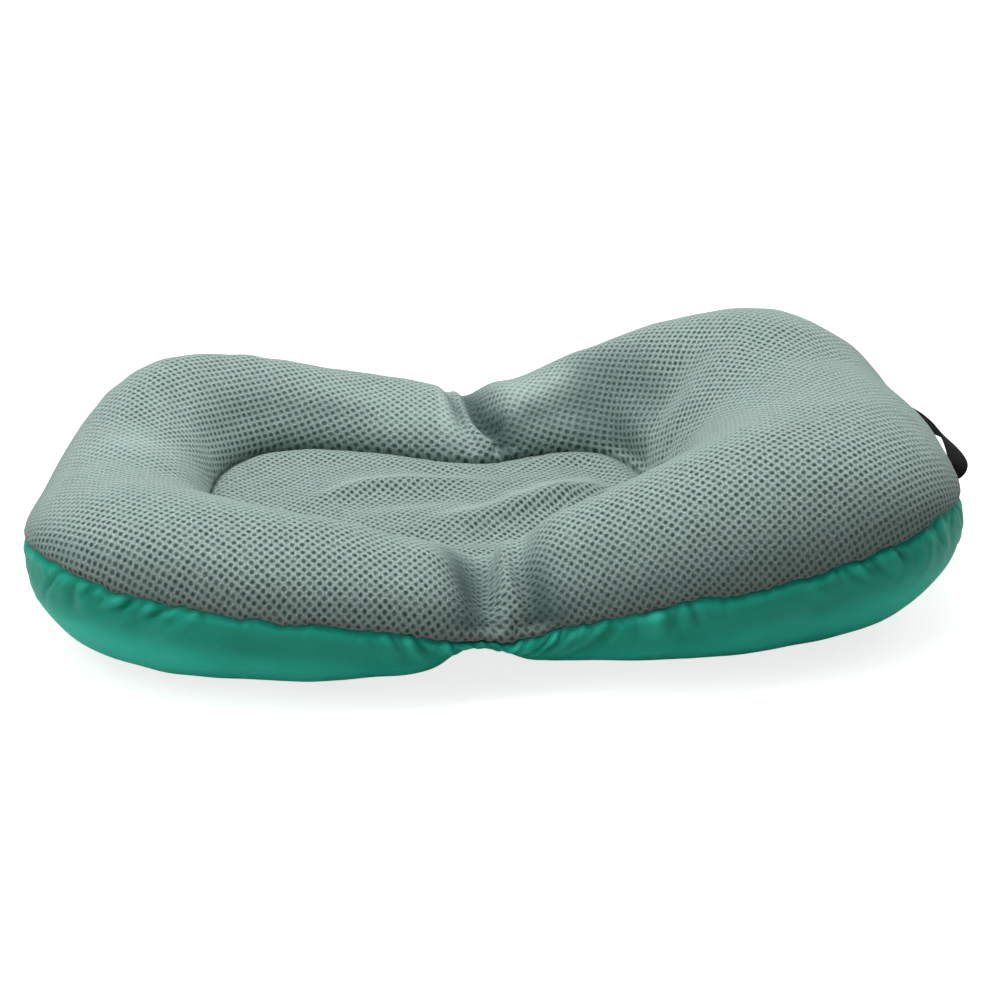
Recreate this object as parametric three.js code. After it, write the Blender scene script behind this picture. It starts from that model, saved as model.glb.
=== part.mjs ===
// Contoured ring cushion with a spacer-mesh top, an oval well, a pinched waist and a webbing loop.
// Millimetres, +Z up. Origin on the floor under the middle of the cushion, +X towards the taller
// head end (the end that carries the webbing loop), -Y towards the front.
import * as THREE from 'three';

// ---------------------------------------------------------------- driving dimensions
const DEGREE = Math.PI / 180;
const TABLE_STEP = 10 * DEGREE;      // angle between the entries of the four tables below

// Each table runs counter-clockwise from +X.
// Plan radius of the perimeter seam, from the origin.
const SEAM_RADIUS = [
  272, 267, 269, 261, 234, 208, 185, 167, 156, 154, 160, 174,
  192, 214, 242, 264, 268, 270, 274, 284, 288, 270, 238, 213,
  191, 174, 162, 154, 155, 166, 185, 207, 233, 264, 277, 274,
];
// Height of the ring's crest above the floor, before the waist groove is pressed in.
const CREST_HEIGHT = [
  127, 126, 132, 132, 122, 109, 97, 87, 81, 83, 81, 80,
  82, 92, 100, 107, 103, 95, 91, 94, 101, 103, 99, 93,
  84, 78, 77, 79, 80, 88, 100, 111, 122, 129, 131, 129,
];
// Height of the perimeter seam above the floor.
const SEAM_HEIGHT = [
  62, 63, 68, 71, 69, 64, 58, 51, 44, 38, 42, 48,
  54, 60, 64, 64, 61, 57, 55, 60, 72, 73, 65, 60,
  54, 47, 41, 37, 43, 50, 57, 65, 73, 80, 77, 67,
];
// Plan radius of the well's edge from its pole; drawn in at the back, where the waist pulls on it.
const WELL_RADIUS = [
  116, 116, 117, 118, 117, 104, 84, 69.5, 64, 64.5, 67.5, 76,
  91, 111, 137, 154, 160, 160, 158, 154.8, 143.4, 127.5, 112.1, 99.2,
  89.2, 81.8, 77, 74.7, 74.7, 76.9, 81.2, 87.4, 95, 103.1, 110.4, 115,
];
const WELL_POLE_X = -16;             // the point the well's outline is swept about
const WELL_EDGE_HEIGHT = 47.5;       // at x = 0
const WELL_EDGE_SLOPE = -0.0255;     // change in edge height per mm along +X
const WELL_DISH = 3.5;               // how far the panel sinks just inside its edge
const WELL_DOME = 6.5;               // how far it swells back up in the middle

const CREST_SHARE = 0.459;           // where the crest lies between seam and well edge
const OUTER_POWER = 1.059;           // fullness of the slope from seam to crest
const INNER_POWER = 1.084;           // fullness of the slope from crest to well edge
const GROOVE = { x: -4, sigma: 25.9, size: 11.1 };      // waist groove pressed into the ring
const ARCH = { x: -24.5, sigma: 16.9, size: 24.6 };     // underside lifted off the floor at the waist
const ARCH_MIN = 0.05;               // a lower arch counts as flat
const ARCH_SEAM_GAP = 6;             // least drop from the seam to the arch
const FLAT_CORE = 0.45;              // share of the underside, from the middle, that the arch spares
const UNDER_INSET = 69.2;            // how far the flat underside starts inside the seam
const UNDER_BULGE = 3.45;            // how far the lower shell swells out below the seam

const MESH_T = 3;                    // spacer mesh thickness
const SHELL_T = 1.2;                 // lined taffeta of the lower shell
const WALL_T = 1;                    // chamber wall and waist baffles
const LINER_T = 0.8;                 // bead bags
const BAG_GAP = 3;                   // slack between a bead bag and the covers
const GAP = 0.4;                     // clearance kept between neighbouring pieces
const BIND_W = 7;                    // width of the perimeter binding
const BIND_T = 1.6;                  // thickness of both bindings
const WEB_W = 12;                    // webbing loop
const WEB_T = 1.4;

const range = (count) => Array.from({ length: count }, (_, i) => i);
const anglesRound = (count) => range(count).map((i) => (i / count) * 2 * Math.PI);
const RING_ANGLES = anglesRound(60);
const WELL_ANGLES = anglesRound(44);
const PAD_ANGLES = anglesRound(22);

// ---------------------------------------------------------------- shape functions
// Catmull-Rom reading of a cyclic table
function readTable(values, angle) {
  const count = values.length;
  const place = ((angle / TABLE_STEP) % count + count) % count;
  const index = Math.floor(place);
  const part = place - index;
  const [before, start, end, after] = [-1, 0, 1, 2].map((k) => values[(index + count + k) % count]);
  const cubic = 3 * (start - end) + after - before;
  const square = 2 * before - 5 * start + 4 * end - after;
  return start + 0.5 * part * (end - before + part * (square + part * cubic));
}
const bell = ({ x, sigma, size }, at) => size * Math.exp(-((at - x) ** 2) / (2 * sigma ** 2));

function seam(angle) {
  const radius = readTable(SEAM_RADIUS, angle);
  const height = readTable(SEAM_HEIGHT, angle);
  return new THREE.Vector3(radius * Math.cos(angle), radius * Math.sin(angle), height);
}

const wellPlane = (x) => WELL_EDGE_HEIGHT + WELL_EDGE_SLOPE * x;
function wellEdge(angle) {
  const radius = readTable(WELL_RADIUS, angle);
  const x = WELL_POLE_X + radius * Math.cos(angle);
  return new THREE.Vector3(x, radius * Math.sin(angle), wellPlane(x));
}

// outward horizontal normal of the seam or the well edge
function planNormal(curve, angle) {
  const before = curve(angle - 0.02);
  const after = curve(angle + 0.02);
  return new THREE.Vector3(after.y - before.y, before.x - after.x, 0).normalize();
}
// the curve's point moved outward in plan and set to height z
function offsetOut(curve, angle, distance, z = 0) {
  return curve(angle).addScaledVector(planNormal(curve, angle), distance).setZ(z);
}

// top of the ring; share runs 0 at the seam, 0.5 at the crest, 1 at the well edge
function topPoint(angle, share) {
  const outer = seam(angle);
  const inner = wellEdge(angle);
  const crest = readTable(CREST_HEIGHT, angle) - bell(GROOVE, outer.x);
  let across, z;
  if (share <= 0.5) {
    const sweep = share * Math.PI;
    across = CREST_SHARE * (1 - Math.cos(sweep));
    z = outer.z + (crest - outer.z) * Math.sin(sweep) ** OUTER_POWER;
  } else {
    const sweep = (share - 0.5) * Math.PI;
    across = CREST_SHARE + (1 - CREST_SHARE) * Math.sin(sweep);
    z = inner.z + (crest - inner.z) * Math.max(Math.cos(sweep), 0) ** INNER_POWER;
  }
  return outer.lerp(inner, across).setZ(z);
}

function archHeight(angle) {
  const { x, z: seamZ } = seam(angle);
  const height = bell(ARCH, x);
  return height < ARCH_MIN ? 0 : Math.min(height, seamZ - ARCH_SEAM_GAP);
}

// side of the lower shell; share runs 0 at the seam, 1 at the rim of the flat underside
function underPoint(angle, share) {
  const edge = seam(angle);
  const sweep = share * Math.PI / 2;
  const inset = UNDER_INSET * (1 - Math.cos(sweep)) - UNDER_BULGE * Math.sin(2 * sweep);
  const keep = 1 - inset / Math.hypot(edge.x, edge.y);
  const z = edge.z - (edge.z - archHeight(angle)) * Math.sin(sweep);
  return new THREE.Vector3(edge.x * keep, edge.y * keep, z);
}

const rimRadius = (angle) => readTable(SEAM_RADIUS, angle) - UNDER_INSET;

// outer surface of the underside at a plan point inside the rim
function floorHeight(x, y) {
  const angle = Math.atan2(y, x);
  const share = Math.hypot(x, y) / rimRadius(angle);
  return archHeight(angle) * THREE.MathUtils.smoothstep(share, FLAT_CORE, 1);
}

// outer surface of the lower shell at any plan point inside the seam
function underHeight(x, y) {
  const angle = Math.atan2(y, x);
  const radius = Math.hypot(x, y);
  if (radius <= rimRadius(angle)) return floorHeight(x, y);
  let low = 0.2;
  let high = 1;
  for (let i = 0; i < 30; i++) {
    const middle = (low + high) / 2;
    const point = underPoint(angle, middle);
    if (Math.hypot(point.x, point.y) > radius) low = middle;
    else high = middle;
  }
  return underPoint(angle, low).z;
}

// point of the flat underside, share of the way from the middle to the rim
function floorPoint(angle, share, lift) {
  const cornerInset = lift > 0 ? 0.6 : 0;
  const radius = (rimRadius(angle) - cornerInset) * share;
  const x = radius * Math.cos(angle);
  const y = radius * Math.sin(angle);
  return new THREE.Vector3(x, y, floorHeight(x, y) + lift);
}

// normal of a surface by finite differences; sign turns it outward
function surfaceNormal(surface, angle, share, sign) {
  const step = 0.01;
  const at = Math.min(Math.max(share, 0.02), 0.98);
  const around = surface(angle + step, at).sub(surface(angle - step, at));
  const along = surface(angle, at + step).sub(surface(angle, at - step));
  return around.cross(along).normalize().multiplyScalar(sign);
}
// points at a depth inside the top and the lower shell, moved level at the edges
function topInner(angle, share, depth) {
  let normal;
  if (share <= 0) normal = planNormal(seam, angle);
  else if (share >= 1) normal = planNormal(wellEdge, angle).negate();
  else normal = surfaceNormal(topPoint, angle, share, 1);
  return topPoint(angle, share).addScaledVector(normal, -depth);
}
function underInner(angle, share, depth) {
  const normal = share <= 0 ? planNormal(seam, angle) : surfaceNormal(underPoint, angle, share, -1);
  return underPoint(angle, share).addScaledVector(normal, -depth);
}

// plan point inside the well: share 0 at the pole, 1 at `inset` inside the edge
function wellPlanPoint(angle, share, inset) {
  const edge = offsetOut(wellEdge, angle, -inset);
  return new THREE.Vector3(WELL_POLE_X + (edge.x - WELL_POLE_X) * share, edge.y * share, 0);
}
// height of the dished and domed well surface
function wellHeight(x, share, dishShare = share) {
  const dish = WELL_DISH * (1 - dishShare ** 10);
  const dome = WELL_DOME * (1 - share * share) ** 1.3;
  return wellPlane(x) - dish + dome;
}

// ---------------------------------------------------------------- closed-mesh builders
// indexed geometry, its faces turned outward
function solid(points, faces) {
  let volume = 0;
  for (const [a, b, c] of faces) {
    volume += points[a].dot(points[b].clone().cross(points[c]));
  }
  const outward = volume < 0 ? faces.map(([a, b, c]) => [a, c, b]) : faces;
  const result = new THREE.BufferGeometry();
  const coordinates = points.flatMap((point) => [point.x, point.y, point.z]);
  result.setAttribute('position', new THREE.Float32BufferAttribute(coordinates, 3));
  result.setIndex(outward.flat());
  result.computeVertexNormals();
  return result;
}
const quad = (a, b, c, d) => [[a, b, c], [a, c, d]];

// faces joining neighbouring rows; either direction may wrap round
function gridFaces(rows, columns, wrapRows, wrapColumns) {
  const faces = [];
  for (let i = 0; i < (wrapRows ? rows : rows - 1); i++) {
    const row = i * columns;
    const nextRow = ((i + 1) % rows) * columns;
    for (let j = 0; j < (wrapColumns ? columns : columns - 1); j++) {
      const next = (j + 1) % columns;
      faces.push(...quad(row + j, row + next, nextRow + next, nextRow + j));
    }
  }
  return faces;
}
// faces from a hub point to a closed loop of `count` points
function fanFaces(hub, start, count, flip) {
  return range(count).map((j) => {
    const a = start + j;
    const b = start + (j + 1) % count;
    return flip ? [hub, b, a] : [hub, a, b];
  });
}
function centroid(loop) {
  const centre = new THREE.Vector3();
  for (const point of loop) centre.addScaledVector(point, 1 / loop.length);
  return centre;
}

// closed loops of points, joined into a ring
function ringOfLoops(loops) {
  return solid(loops.flat(), gridFaces(loops.length, loops[0].length, true, true));
}
// an open run of closed loops, with a fan at each end
function cappedLoops(loops) {
  const size = loops[0].length;
  const last = loops.length - 1;
  const points = loops.flat();
  const faces = gridFaces(loops.length, size, false, true);
  for (const i of [0, last]) {
    const hub = points.push(centroid(loops[i])) - 1;
    faces.push(...fanFaces(hub, i * size, size, i === 0));
  }
  return solid(points, faces);
}
// open profiles round an axis, closed to a pole point at each end
function poledProfiles(profiles, firstPole, lastPole) {
  const count = profiles.length;
  const size = profiles[0].length;
  const points = profiles.flat();
  const faces = gridFaces(count, size, true, false);
  const first = points.push(firstPole) - 1;
  const last = points.push(lastPole) - 1;
  for (let i = 0; i < count; i++) {
    const next = (i + 1) % count;
    faces.push([first, i * size, next * size]);
    faces.push([last, next * size + size - 1, i * size + size - 1]);
  }
  return solid(points, faces);
}
// section of a sheet: its outer skin out, its inner skin back
const sheetSection = (skin, angle, thickness) => [
  ...skin(angle, 0),
  ...skin(angle, thickness).reverse(),
];

// ---------------------------------------------------------------- ring cover and lower shell
const TOP_ROWS = [0, 0.06, 0.14, 0.24, 0.36, 0.5, 0.62, 0.74, 0.85, 0.94, 1];
const FLOOR_ROWS = [0.4, 0.66, 0.86, 1];
const UNDER_ROWS = [0.84, 0.66, 0.48, 0.3, 0.14, 0];
const SHELL_POLE = { x: 5, y: 3 };

// half the seam clearance, fading out away from the seam
const seamLift = (share, fade) => GAP / 2 * (1 - Math.min(1, share * fade));
function raise(point, rise) {
  point.z += rise;
  return point;
}

// spacer mesh from the seam over the crest to the well edge
function ringCover() {
  const skin = (angle, depth) => TOP_ROWS.map(
    (share) => raise(topInner(angle, share, depth), seamLift(share, 8)),
  );
  return ringOfLoops(RING_ANGLES.map((angle) => sheetSection(skin, angle, MESH_T)));
}

// one cup of taffeta from the seam under the whole cushion
function baseShell() {
  const skin = (angle, depth) => [
    ...FLOOR_ROWS.map((share) => floorPoint(angle, share, depth)),
    ...UNDER_ROWS.map((share) => raise(underInner(angle, share, depth), -seamLift(share, 7))),
  ];
  const pole = (z) => new THREE.Vector3(SHELL_POLE.x, SHELL_POLE.y, z);
  const profiles = RING_ANGLES.map((angle) => sheetSection(skin, angle, SHELL_T));
  return poledProfiles(profiles, pole(0), pole(SHELL_T));
}

// ---------------------------------------------------------------- well panel and its wadding pad
const PANEL_ROWS = [0.3, 0.6, 0.85, 0.96, 1];
const PAD_ROWS = [0.35, 0.7, 1];
const PAD_INSET = 5.2;               // pad edge inside the well edge
const PAD_DISH_SCALE = 0.93;         // the pad's rim in shares of the panel
const PAD_TOP = { gap: 1.4, taper: 5 };      // gap at the middle, extra gap at the rim
const PAD_BOTTOM = { gap: 2.6, taper: 4 };
const PAD_ARCH_SCALE = 1.25;         // underside arch, exaggerated to keep the pad clear

// spacer mesh floor of the well
function wellPanel() {
  const panelPoint = (angle, share, drop) => {
    const point = wellPlanPoint(angle, share, GAP);
    return point.setZ(wellHeight(point.x, share) - drop);
  };
  const skin = (angle, drop) => PANEL_ROWS.map((share) => panelPoint(angle, share, drop));
  const profiles = WELL_ANGLES.map((angle) => sheetSection(skin, angle, MESH_T));
  return poledProfiles(profiles, panelPoint(0, 0, 0), panelPoint(0, 0, MESH_T));
}

function padTop(angle, share) {
  const point = wellPlanPoint(angle, share, PAD_INSET);
  const roof = wellHeight(point.x, share, share * PAD_DISH_SCALE) - MESH_T;
  return point.setZ(roof - PAD_TOP.gap - PAD_TOP.taper * share ** 6);
}
function padBottom(angle, share) {
  const point = wellPlanPoint(angle, share, PAD_INSET);
  const floor = PAD_ARCH_SCALE * floorHeight(point.x, point.y) + SHELL_T;
  return point.setZ(floor + PAD_BOTTOM.gap + PAD_BOTTOM.taper * share ** 6);
}
function wellPad() {
  const profiles = PAD_ANGLES.map((angle) => [
    ...PAD_ROWS.map((share) => padTop(angle, share)),
    ...PAD_ROWS.map((share) => padBottom(angle, share)).reverse(),
  ]);
  return poledProfiles(profiles, padTop(0, 0), padBottom(0, 0));
}

// ---------------------------------------------------------------- bindings and chamber wall
const PERIMETER_BIND_INSET = MESH_T + GAP + 0.2;
const WELL_BIND_IN = 4;              // reach of the well binding inside and outside the well edge
const WELL_BIND_OUT = 2.8;
const WELL_BIND_DROP = MESH_T + WELL_DISH + GAP;        // its top, below the well edge
const WALL_DROP = WELL_BIND_DROP + BIND_T + GAP;        // top of the chamber wall, below the same
const WALL_FOOT_GAP = GAP + 0.6;
const WALL_ARCH_SCALE = 1.22;        // underside arch, exaggerated to keep the wall clear

// ring of rectangular section along a curve, between two outward offsets
function bandAlong(curve, angles, near, far, heights) {
  return ringOfLoops(angles.map((angle) => {
    const [top, bottom] = heights(angle);
    const corners = [[near, top], [far, top], [far, bottom], [near, bottom]];
    return corners.map(([out, z]) => offsetOut(curve, angle, out, z));
  }));
}

// bound seam allowance inside the perimeter seam
function perimeterBinding() {
  const outer = -PERIMETER_BIND_INSET;
  return bandAlong(seam, RING_ANGLES, outer, outer - BIND_W, (angle) => {
    const { z } = seam(angle);
    return [z + BIND_T / 2, z - BIND_T / 2];
  });
}

// bound seam allowance under the well edge
function wellBinding() {
  return bandAlong(wellEdge, WELL_ANGLES, -WELL_BIND_IN, WELL_BIND_OUT, (angle) => {
    const top = wellEdge(angle).z - WELL_BIND_DROP;
    return [top, top - BIND_T];
  });
}

// oval wall that holds the well edge down, from the lower shell up to the well seam
function chamberWall() {
  return ringOfLoops(WELL_ANGLES.map((angle) => {
    const outer = offsetOut(wellEdge, angle, 0);
    const inner = offsetOut(wellEdge, angle, -WALL_T);
    const arch = Math.max(floorHeight(outer.x, outer.y), floorHeight(inner.x, inner.y));
    const bottom = WALL_ARCH_SCALE * arch + SHELL_T + WALL_FOOT_GAP;
    const top = wellEdge(angle).z - WALL_DROP;
    return [
      outer.clone().setZ(bottom),
      outer.clone().setZ(top),
      inner.clone().setZ(top),
      inner.clone().setZ(bottom),
    ];
  }));
}

// ---------------------------------------------------------------- waist baffles
const BAFFLE_TOP_ROWS = [0.22, 0.32, 0.42, 0.5, 0.6, 0.7, 0.8, 0.88];
const BAFFLE_FOOT_ROWS = [0.86, 0.7, 0.54, 0.38, 0.24];     // shares from seam to well edge
const BAFFLE_TOP_GAP = 1.2;
const BAFFLE_FOOT_GAP = 3;
const BAFFLE_BIND_GAP = 3;

// upright web that parts the head chamber from the foot chamber
function waistBaffle(angle) {
  const start = seam(angle).setZ(0);
  const end = wellEdge(angle).setZ(0);
  const direction = end.clone().sub(start);
  const run = direction.length();
  direction.normalize();

  const top = BAFFLE_TOP_ROWS.map((share) => {
    const point = topInner(angle, share, MESH_T + BAFFLE_TOP_GAP);
    return new THREE.Vector2(point.clone().sub(start).dot(direction), point.z);
  });
  const foot = BAFFLE_FOOT_ROWS.map((share) => {
    const { x, y } = start.clone().lerp(end, share);
    return new THREE.Vector2(run * share, underHeight(x, y) + SHELL_T + BAFFLE_FOOT_GAP);
  });
  const tip = new THREE.Vector2(MESH_T + BIND_W + BAFFLE_BIND_GAP, seam(angle).z);
  const shape = new THREE.Shape([...top, ...foot, tip]);

  const up = new THREE.Vector3(0, 0, 1);
  const across = direction.clone().cross(up);
  const placement = new THREE.Matrix4().makeBasis(direction, up, across);
  placement.setPosition(start.addScaledVector(across, -WALL_T / 2));
  return new THREE.ExtrudeGeometry(shape, { depth: WALL_T, bevelEnabled: false })
    .applyMatrix4(placement);
}

// ---------------------------------------------------------------- bead bags and bead fill
const HEAD_LOBE = [-76, 76];         // degrees
const FOOT_LOBE = [106, 254];
const LOBE_STATIONS = 14;
const LOBE_END_SCALES = [0.62, 0.9]; // section scale at the end station and the one next to it
const LINER_END_TRIM = 0.45;         // degrees the bag's inner skin stops short at each end
const FILL_END_TRIM = 1;
const CHAMBER_TOP_ROWS = [0.06, 0.14, 0.24, 0.36, 0.5, 0.62, 0.74, 0.85, 0.93];
const CHAMBER_UNDER_ROWS = [0.8, 0.6, 0.4, 0.22, 0.09];
const CHAMBER_WALL_GAP = 3;          // chamber outside the well edge
const CHAMBER_HEAD_DROP = 8;         // top of its wall side below the well edge
const CHAMBER_FOOT_LIFT = 1.5;
const CHAMBER_TOE_LIFT = 0.3;
const NOTCH_INSET = 17.5;            // notch that clears the perimeter binding

// the chamber's section at one angle, kept `gap` away from the covers
function chamberLoop(angle, gap) {
  const lift = SHELL_T + gap;
  const wall = offsetOut(wellEdge, angle, CHAMBER_WALL_GAP + gap);
  const head = wall.clone().setZ(wellEdge(angle).z - CHAMBER_HEAD_DROP);
  const foot = wall.clone().setZ(floorHeight(wall.x, wall.y) + lift + CHAMBER_FOOT_LIFT);
  const toe = floorPoint(angle, 1, 0);
  const radius = Math.hypot(toe.x, toe.y);
  toe.multiplyScalar((radius - gap * 0.6) / radius);
  toe.z = floorHeight(toe.x, toe.y) + lift + CHAMBER_TOE_LIFT;
  return [
    ...CHAMBER_TOP_ROWS.map((share) => topInner(angle, share, MESH_T + gap)),
    head,
    foot,
    toe,
    ...CHAMBER_UNDER_ROWS.map((share) => underInner(angle, share, lift)),
    offsetOut(seam, angle, -(NOTCH_INSET + gap), seam(angle).z),
  ];
}
// sections from one end of a lobe to the other, drawn in at the ends
function lobeLoops([from, to], gap, endTrim) {
  const last = LOBE_STATIONS - 1;
  return range(LOBE_STATIONS).map((i) => {
    const angle = (from + endTrim + (to - from - 2 * endTrim) * i / last) * DEGREE;
    const scale = LOBE_END_SCALES[Math.min(i, last - i)] ?? 1;
    const loop = chamberLoop(angle, gap);
    const centre = centroid(loop);
    return loop.map((point) => point.sub(centre).multiplyScalar(scale).add(centre));
  });
}

// a bag: outer and inner skins with a filling slot in the wall that faces the well
function beadBag(lobe) {
  const skins = [
    lobeLoops(lobe, BAG_GAP, 0),
    lobeLoops(lobe, BAG_GAP + LINER_T, LINER_END_TRIM),
  ];
  const size = skins[0][0].length;
  const last = LOBE_STATIONS - 1;
  const points = skins.flat(2);
  const faces = [];
  const id = (skin, i, j) => (skin * LOBE_STATIONS + i) * size + j % size;

  // the slot lies between the section's head and foot points, over the two middle spans
  const slotHead = CHAMBER_TOP_ROWS.length;
  const slotFoot = slotHead + 1;
  const slotStart = LOBE_STATIONS / 2 - 1;
  const slotEnd = LOBE_STATIONS / 2 + 1;
  for (let i = 0; i < last; i++) {
    for (let j = 0; j < size; j++) {
      if (j === slotHead && i >= slotStart && i < slotEnd) continue;
      const corners = (skin) => [
        id(skin, i, j), id(skin, i, j + 1), id(skin, i + 1, j + 1), id(skin, i + 1, j),
      ];
      const [a, b, c, d] = corners(1);
      faces.push(...quad(...corners(0)), ...quad(a, d, c, b));
    }
  }

  // the slot's edges join the two skins
  const bridge = (i0, j0, i1, j1) => {
    faces.push(...quad(id(0, i0, j0), id(0, i1, j1), id(1, i1, j1), id(1, i0, j0)));
  };
  for (let i = slotStart; i < slotEnd; i++) {
    bridge(i + 1, slotHead, i, slotHead);
    bridge(i, slotFoot, i + 1, slotFoot);
  }
  bridge(slotStart, slotHead, slotStart, slotFoot);
  bridge(slotEnd, slotFoot, slotEnd, slotHead);

  for (const skin of [0, 1]) {
    for (const i of [0, last]) {
      const hub = points.push(centroid(skins[skin][i])) - 1;
      faces.push(...fanFaces(hub, id(skin, i, 0), size, (i === 0) === (skin === 0)));
    }
  }
  return solid(points, faces);
}

function beadFill(lobe) {
  return cappedLoops(lobeLoops(lobe, BAG_GAP + LINER_T + 1, FILL_END_TRIM));
}

// ---------------------------------------------------------------- webbing loop
// each row: [x, y, z] of the ribbon's outer edge, then of its inner edge, at one station
const WEB_EDGES = [
  [[273.4, -15.0, 62.0], [273.4, -3.0, 62.3]],
  [[280.5, -14.8, 64.0], [276.3, -3.4, 64.6]],
  [[286.6, -12.6, 65.8], [277.4, -4.6, 67.6]],
  [[287.4, -4.5, 66.8], [277.0, -2.0, 70.6]],
  [[285.4, 13.5, 68.2], [276.2, 10.6, 74.2]],
  [[281.2, 29.0, 69.4], [275.2, 27.0, 79.0]],
  [[277.0, 45.0, 66.0], [273.6, 43.6, 77.2]],
  [[273.4, 62.0, 63.6], [270.6, 61.0, 75.0]],
  [[269.0, 76.5, 63.0], [266.6, 71.6, 73.4]],
  [[263.6, 84.4, 64.6], [263.0, 75.0, 69.6]],
  [[259.4, 86.2, 66.0], [261.6, 74.8, 67.0]],
];
const WEB_STATIONS = 31;

// ribbon on the head end, both ends at the perimeter seam
function hangLoop() {
  const [outer, inner] = [0, 1].map((side) => {
    const knots = WEB_EDGES.map((row) => new THREE.Vector3(...row[side]));
    return new THREE.CatmullRomCurve3(knots, false, 'catmullrom', 0.5);
  });
  const middle = (share) => outer.getPoint(share).add(inner.getPoint(share)).multiplyScalar(0.5);
  return cappedLoops(range(WEB_STATIONS).map((i) => {
    const share = i / (WEB_STATIONS - 1);
    const width = inner.getPoint(share).sub(outer.getPoint(share)).normalize();
    const ahead = middle(Math.min(1, share + 0.01));
    const tangent = ahead.sub(middle(Math.max(0, share - 0.01))).normalize();
    const normal = tangent.cross(width).normalize();
    return [[-1, -1], [1, -1], [1, 1], [-1, 1]].map(([across, through]) => middle(share)
      .addScaledVector(width, across * WEB_W / 2)
      .addScaledVector(normal, through * WEB_T / 2));
  }));
}

// ---------------------------------------------------------------- materials
const finish = ({ color, roughness }) => (
  new THREE.MeshStandardMaterial({ color, roughness, metalness: 0 })
);
const meshFabric = () => finish({ color: 0x8aa39a, roughness: 0.85 });
const taffeta = () => finish({ color: 0x1f8a70, roughness: 0.45 });
const binding = () => finish({ color: 0x6f7a74, roughness: 0.8 });
const lining = () => finish({ color: 0xd9dcd8, roughness: 0.85 });
const beads = () => finish({ color: 0xf2f2ee, roughness: 0.7 });
const wadding = () => finish({ color: 0xe8e8e2, roughness: 0.95 });
const webbing = () => finish({ color: 0x17181a, roughness: 0.8 });

// ---------------------------------------------------------------- assembly
const cushion = new THREE.Group();
function addPart(name, geometry, material) {
  const mesh = new THREE.Mesh(geometry, material);
  mesh.name = name;
  cushion.add(mesh);
}
addPart('mesh_ring_cover', ringCover(), meshFabric());
addPart('well_panel', wellPanel(), meshFabric());
addPart('base_shell', baseShell(), taffeta());
addPart('perimeter_seam_binding', perimeterBinding(), binding());
addPart('well_seam_binding', wellBinding(), binding());
addPart('chamber_wall', chamberWall(), lining());
addPart('front_waist_baffle', waistBaffle(-90 * DEGREE), lining());
addPart('back_waist_baffle', waistBaffle(90 * DEGREE), lining());
addPart('head_liner', beadBag(HEAD_LOBE), lining());
addPart('foot_liner', beadBag(FOOT_LOBE), lining());
addPart('head_fill', beadFill(HEAD_LOBE), beads());
addPart('foot_fill', beadFill(FOOT_LOBE), beads());
addPart('well_pad', wellPad(), wadding());
addPart('hang_loop', hangLoop(), webbing());

export default cushion;
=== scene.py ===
import math

import bpy
import numpy as np
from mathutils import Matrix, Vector


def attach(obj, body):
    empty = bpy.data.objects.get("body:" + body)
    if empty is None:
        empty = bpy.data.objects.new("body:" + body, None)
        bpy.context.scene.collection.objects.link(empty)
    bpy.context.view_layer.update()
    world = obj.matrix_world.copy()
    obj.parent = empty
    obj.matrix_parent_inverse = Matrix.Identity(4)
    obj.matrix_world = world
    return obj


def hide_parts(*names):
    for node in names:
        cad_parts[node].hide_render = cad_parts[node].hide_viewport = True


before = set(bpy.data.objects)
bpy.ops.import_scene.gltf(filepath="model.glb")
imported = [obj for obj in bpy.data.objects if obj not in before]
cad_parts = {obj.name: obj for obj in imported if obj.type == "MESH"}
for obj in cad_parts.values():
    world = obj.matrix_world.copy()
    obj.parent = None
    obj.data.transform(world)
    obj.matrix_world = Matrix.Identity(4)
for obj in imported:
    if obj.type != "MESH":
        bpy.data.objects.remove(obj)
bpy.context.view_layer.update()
MM = 0.001
TAU = 2 * math.pi

# ------------------------------------------------------------------ cushion dimensions (mm)
# One entry every 10 degrees
SEAM_RADIUS = [
    272, 267, 269, 261, 234, 208, 185, 167, 156, 154, 160, 174, 192, 214, 242, 264, 268, 270,
    274, 284, 288, 270, 238, 213, 191, 174, 162, 154, 155, 166, 185, 207, 233, 264, 277, 274]
CREST_HEIGHT = [
    127, 126, 132, 132, 122, 109, 97, 87, 81, 83, 81, 80, 82, 92, 100, 107, 103, 95,
    91, 94, 101, 103, 99, 93, 84, 78, 77, 79, 80, 88, 100, 111, 122, 129, 131, 129]
SEAM_HEIGHT = [
    62, 63, 68, 71, 69, 64, 58, 51, 44, 38, 42, 48, 54, 60, 64, 64, 61, 57,
    55, 60, 72, 73, 65, 60, 54, 47, 41, 37, 43, 50, 57, 65, 73, 80, 77, 67]
WELL_RADIUS = [                       # from the well's pole, not from the origin
    116, 116, 117, 118, 117, 104, 84, 69.5, 64, 64.5, 67.5, 76,
    91, 111, 137, 154, 160, 160, 158.0, 154.8, 143.4, 127.5, 112.1, 99.2,
    89.2, 81.8, 77.0, 74.7, 74.7, 76.9, 81.2, 87.4, 95.0, 103.1, 110.4, 115.0]
FINE_STEPS = 1440                     # the tables are resampled to this many steps a turn
FINE_SMOOTHING = 11                   # and smoothed over this many of them

POLE_X = -16.0
WELL_Z, WELL_TILT = 47.5, 0.0255      # height of the well's edge at x = 0, fall per mm of x
WAIST_DIP, DIP_X, DIP_SPREAD = 11.1, -4, 25.9       # the crest sinks at the waist
OUTER_SHARE = 0.459                   # of the way from seam to well where the crest lies
OUTER_ROUND, INNER_ROUND = 1.059, 1.084             # fullness of the two flanks
ARCH, ARCH_X, ARCH_SPREAD, ARCH_GAP = 24.6, -24.5, 16.9, 6   # hollow under the waist
UNDER_INSET, UNDER_BULGE = 69.2, 3.45
SEAM_PINCH = 1.2                      # how far the stitching draws the seam in

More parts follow.
